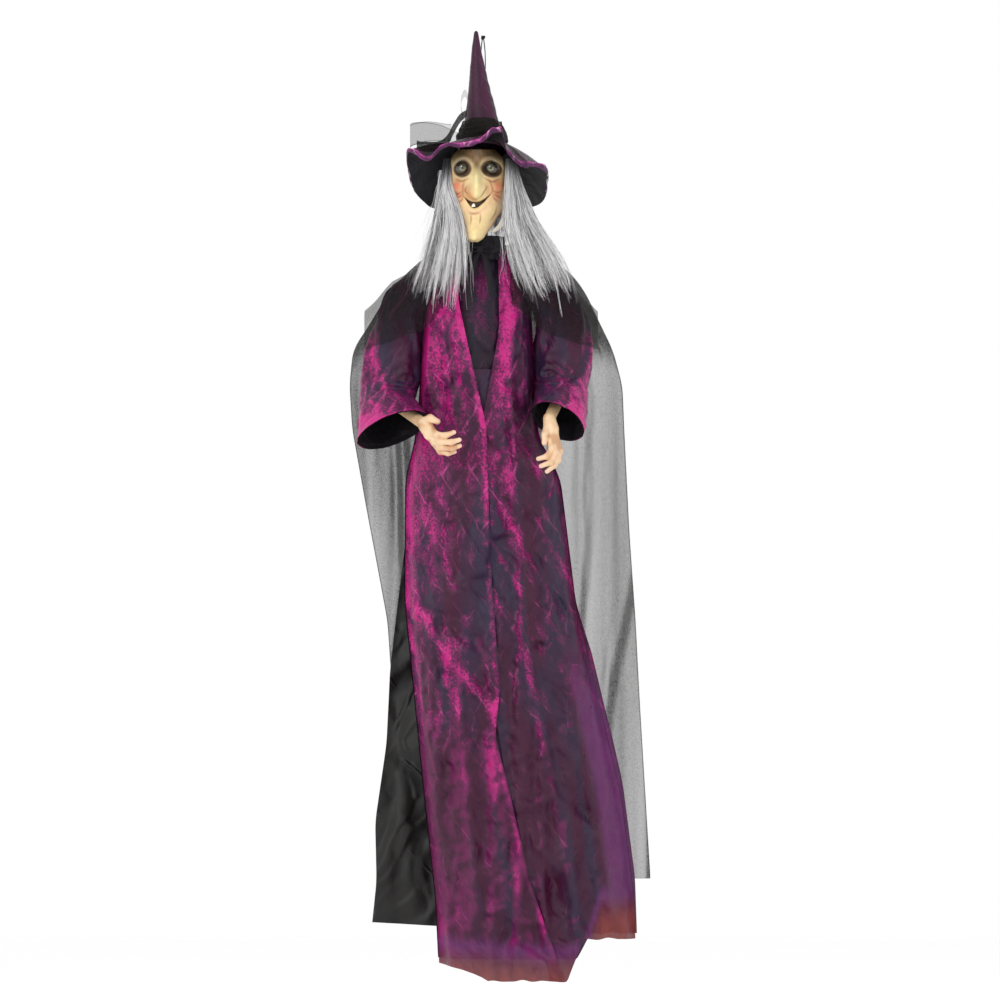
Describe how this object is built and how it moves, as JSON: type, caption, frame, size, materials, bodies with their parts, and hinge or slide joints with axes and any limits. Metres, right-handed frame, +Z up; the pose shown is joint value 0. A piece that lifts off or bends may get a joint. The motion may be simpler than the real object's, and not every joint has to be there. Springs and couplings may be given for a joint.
{
  "type": "hanging animated witch figure",
  "caption": "Hanging witch figure with a turning head, hooked-nose mask, long hair, wide hat, posable sleeved arms, crinkled two-tone robe and a long net cape.",
  "frame": {"origin": "the hang point, inside the top of the cord loop above the hat, where a nail or hook holds it", "axes": "+Z up, the figure faces -Y, +X is to the viewer's right"},
  "size_m": [0.6665, 0.3311, 2.1],
  "materials": {
    "magenta_organza": "crinkled iridescent organza, magenta on the folds and dark plum between them",
    "plum_satin": "satin lining",
    "black_tulle": "sheer net",
    "black_taffeta": "matt taffeta",
    "hair": "long straight synthetic fibre, white and grey",
    "mask_skin": "painted moulding, cream with a blush on the cheeks",
    "hand_skin": "painted moulding",
    "eye": "painted and varnished",
    "black_plastic": "fine-grained moulding",
    "grey_plastic": "moulded",
    "white_plastic": "acetal",
    "steel": "plated",
    "battery": null,
    "board": "solder mask",
    "red_plastic": "moulded",
    "cord": "braided"
  },
  "bodies": {
    "torso": {"hang_cord": "cord", "loop_knot": "cord", "hanger_eye": "steel", "spine_post": "steel", "neck_bush": "white_plastic", "motor_bracket": "steel", "gear_motor": "steel", "shoulder_bar": "steel", "shoulder_pin_left": "steel", "shoulder_pin_right": "steel", "chest_box_rear": "black_plastic", "chest_box_front": "black_plastic", "box_screw_upper_left": "steel", "box_screw_upper_right": "steel", "box_screw_lower_left": "steel", "box_screw_lower_right": "steel", "battery_1": "battery", "battery_2": "battery", "battery_3": "battery", "battery_contacts": "steel", "circuit_board": "board", "speaker": "black_plastic", "collar": "black_taffeta", "neck_ribbon": "black_taffeta", "bodice_front": "plum_satin", "robe_back": "magenta_organza", "coat_left": "magenta_organza", "coat_right": "magenta_organza", "skirt_front": "plum_satin", "black_underskirt": "black_taffeta", "cape": "black_tulle"},
    "head": {"neck_gear": "white_plastic", "neck_tube": "grey_plastic", "head_shell": "grey_plastic", "face_mask": "mask_skin", "eye_left": "eye", "eye_right": "eye", "eye_led_bar": "board", "hat_cone": "magenta_organza", "hat_brim": "magenta_organza", "hat_tulle_band": "black_tulle", "hair_left": "hair", "hair_right": "hair", "hair_back": "hair"},
    "pinion": {"drive_pinion": "white_plastic"},
    "upper_arm_left": {"upper_arm_left": "black_plastic", "sleeve_upper_left": "magenta_organza", "elbow_pin_left": "steel"},
    "upper_arm_right": {"upper_arm_right": "black_plastic", "sleeve_upper_right": "magenta_organza", "elbow_pin_right": "steel"},
    "forearm_left": {"forearm_left": "hand_skin", "sleeve_lower_left": "magenta_organza"},
    "forearm_right": {"forearm_right": "hand_skin", "sleeve_lower_right": "magenta_organza"},
    "hand_left": {"hand_left": "hand_skin"},
    "hand_right": {"hand_right": "hand_skin"},
    "battery_door": {"battery_door": "black_plastic"},
    "power_switch": {"power_switch": "red_plastic"},
    "test_button": {"test_button": "red_plastic"}
  },
  "joints": [
    {"name": "head_turn", "type": "hinge", "parent": "torso", "child": "head", "pos_m": [0, 0, -0.4475], "axis": [0, 0, 1], "range_deg": [-25, 25], "deforming": ["hair_left", "hair_right", "hair_back"]},
    {"name": "pinion_spin", "type": "hinge", "parent": "torso", "child": "pinion", "pos_m": [0, 0.0255, -0.4475], "axis": [0, 0, 1], "range_deg": [-61, 61]},
    {"name": "left_shoulder", "type": "hinge", "parent": "torso", "child": "upper_arm_left", "pos_m": [-0.172, 0, -0.547], "axis": [-1, 0, 0], "range_deg": [0, 40], "deforming": ["sleeve_upper_left"]},
    {"name": "left_elbow", "type": "hinge", "parent": "upper_arm_left", "child": "forearm_left", "pos_m": [-0.217, 0.01, -0.785], "axis": [-0.7986, -0.5885, 0.1263], "range_deg": [-12, 25], "deforming": ["sleeve_upper_left"]},
    {"name": "left_wrist", "type": "hinge", "parent": "forearm_left", "child": "hand_left", "pos_m": [-0.13, -0.122, -0.85], "axis": [0.509, -0.7722, -0.3803], "range_deg": [-35, 35]},
    {"name": "right_shoulder", "type": "hinge", "parent": "torso", "child": "upper_arm_right", "pos_m": [0.16, 0, -0.547], "axis": [-1, 0, 0], "range_deg": [0, 40], "deforming": ["sleeve_upper_right"]},
    {"name": "right_elbow", "type": "hinge", "parent": "upper_arm_right", "child": "forearm_right", "pos_m": [0.181, 0.01, -0.763], "axis": [-0.94, 0.3327, -0.076], "range_deg": [-12, 25], "deforming": ["sleeve_upper_right"]},
    {"name": "right_wrist", "type": "hinge", "parent": "forearm_right", "child": "hand_right", "pos_m": [0.146, -0.106, -0.838], "axis": [-0.2456, -0.814, -0.5263], "range_deg": [-35, 35]},
    {"name": "battery_door_hinge", "type": "hinge", "parent": "torso", "child": "battery_door", "pos_m": [0, 0.0194, -0.6918], "axis": [-1, 0, 0], "range_deg": [0, 100]},
    {"name": "power_switch_slide", "type": "slide", "parent": "torso", "child": "power_switch", "axis": [0, 0, 1], "range_m": [0, 0.004]},
    {"name": "test_button_press", "type": "slide", "parent": "torso", "child": "test_button", "axis": [0, 1, 0], "range_m": [0, 0.0015], "stiffness_N_per_m": 400}
  ],
  "couplings": [
    {"joint": "pinion_spin", "follows": "head_turn", "ratio": -2.4}
  ]
}
